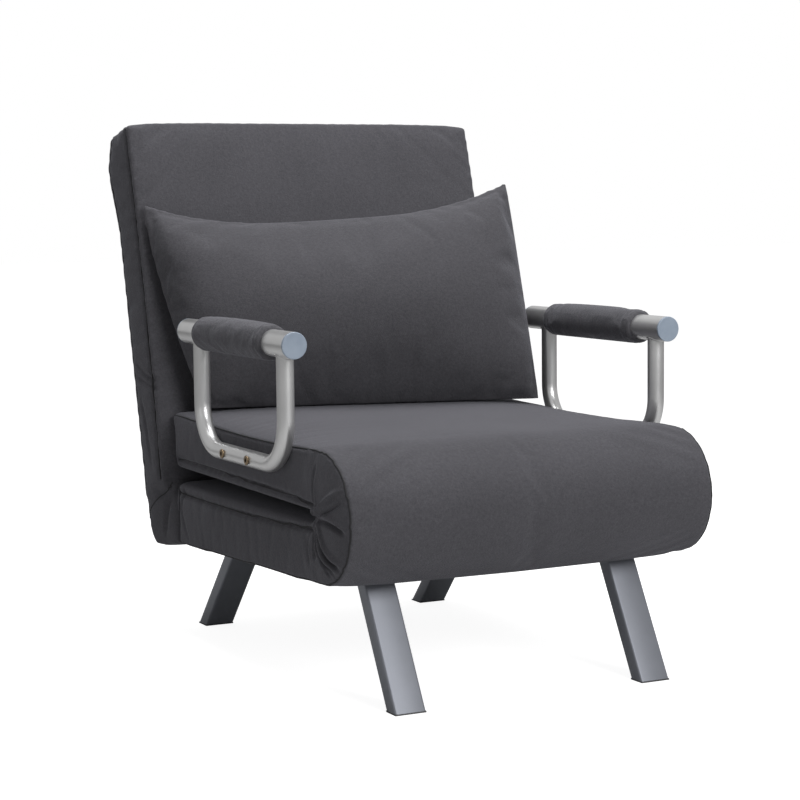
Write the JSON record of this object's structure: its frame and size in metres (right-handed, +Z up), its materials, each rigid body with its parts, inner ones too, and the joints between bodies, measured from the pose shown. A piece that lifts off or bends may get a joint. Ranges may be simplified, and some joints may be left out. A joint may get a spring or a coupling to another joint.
{
  "type": "convertible chair bed",
  "caption": "Upholstered armchair that opens to a single bed: mattress in sections on a tube frame, seat that turns over forwards, ratchet backrest, tube armrests, loose pillow.",
  "frame": {"origin": "on the floor, below the middle of the chair's overall width and depth, as it stands folded as a chair", "axes": "+Z up, +X to the chair's own left as it is faced from the front (the picture's right), -Y towards the front where the feet of the sitter are"},
  "size_m": [0.668, 0.8972, 0.8317],
  "materials": {
    "charcoal_fabric": "matte",
    "pillow_fabric": "matte",
    "sleeve_fabric": "matte",
    "foam": "matte",
    "end_cap_plastic": "satin",
    "plug_plastic": "matte",
    "brass_screws": "satin",
    "leg_metal": "satin",
    "silver_tube": "satin",
    "spring_wire": "satin",
    "bright_steel": "satin",
    "frame_paint": "satin"
  },
  "bodies": {
    "base": {"base_cover": "charcoal_fabric", "base_cross_rails": "frame_paint", "base_foam": "foam", "base_side_rails": "frame_paint", "base_wires": "spring_wire", "front_fold": "charcoal_fabric", "front_hinge_base_plates": "frame_paint", "front_hinge_pins": "bright_steel", "front_left_leg": "leg_metal", "front_right_leg": "leg_metal", "leg_bolts": "bright_steel", "leg_plates": "frame_paint", "leg_plugs": "plug_plastic", "pawl_pins": "bright_steel", "rear_fold": "charcoal_fabric", "rear_hinge_base_plates": "frame_paint", "rear_hinge_pins": "bright_steel", "rear_left_leg": "leg_metal", "rear_right_leg": "leg_metal"},
    "seat": {"arm_end_caps": "end_cap_plastic", "arm_screws": "brass_screws", "arm_spacers": "silver_tube", "front_hinge_seat_plates": "frame_paint", "left_arm_bar": "silver_tube", "left_arm_loop": "silver_tube", "left_arm_sleeve": "sleeve_fabric", "right_arm_bar": "silver_tube", "right_arm_loop": "silver_tube", "right_arm_sleeve": "sleeve_fabric", "seat_cover": "charcoal_fabric", "seat_cross_rails": "frame_paint", "seat_foam": "foam", "seat_side_rails": "frame_paint", "seat_wires": "spring_wire"},
    "back": {"back_cover": "charcoal_fabric", "back_cross_rails": "frame_paint", "back_foam": "foam", "back_side_rails": "frame_paint", "back_wires": "spring_wire", "rear_hinge_back_plates": "frame_paint", "support_brackets": "frame_paint", "support_pins": "bright_steel"},
    "support": {"support_leg": "silver_tube"},
    "pawls": {"ratchet_pawls": "bright_steel"},
    "pillow": {"pillow": "pillow_fabric"}
  },
  "joints": [
    {"name": "seat_fold", "type": "hinge", "parent": "base", "child": "seat", "pos_m": [0, -0.344, 0.264], "axis": [1, 0, 0], "range_deg": [0, 180], "deforming": ["front_fold", "pillow"]},
    {"name": "back_recline", "type": "hinge", "parent": "base", "child": "back", "pos_m": [0, 0.25, 0.203], "axis": [-1, 0, 0], "range_deg": [0, 76.6], "deforming": ["rear_fold"]},
    {"name": "support_fold", "type": "hinge", "parent": "back", "child": "support", "pos_m": [0, 0.40024, 0.60924], "axis": [1, 0, 0], "range_deg": [0, 90]},
    {"name": "pawl_lift", "type": "hinge", "parent": "base", "child": "pawls", "pos_m": [0, 0.21246, 0.19417], "axis": [-1, 0, 0], "range_deg": [0, 10], "stiffness_Nm_per_rad": 0.05, "springref_deg": -17.19},
    {"name": "pillow_slide", "type": "slide", "parent": "back", "child": "pillow", "axis": [0, -0.2317, -0.9728], "range_m": [0, 0.12]}
  ],
  "couplings": [
    {"joint": "pillow_slide", "follows": "seat_fold", "m_per_rad": 0.038}
  ]
}
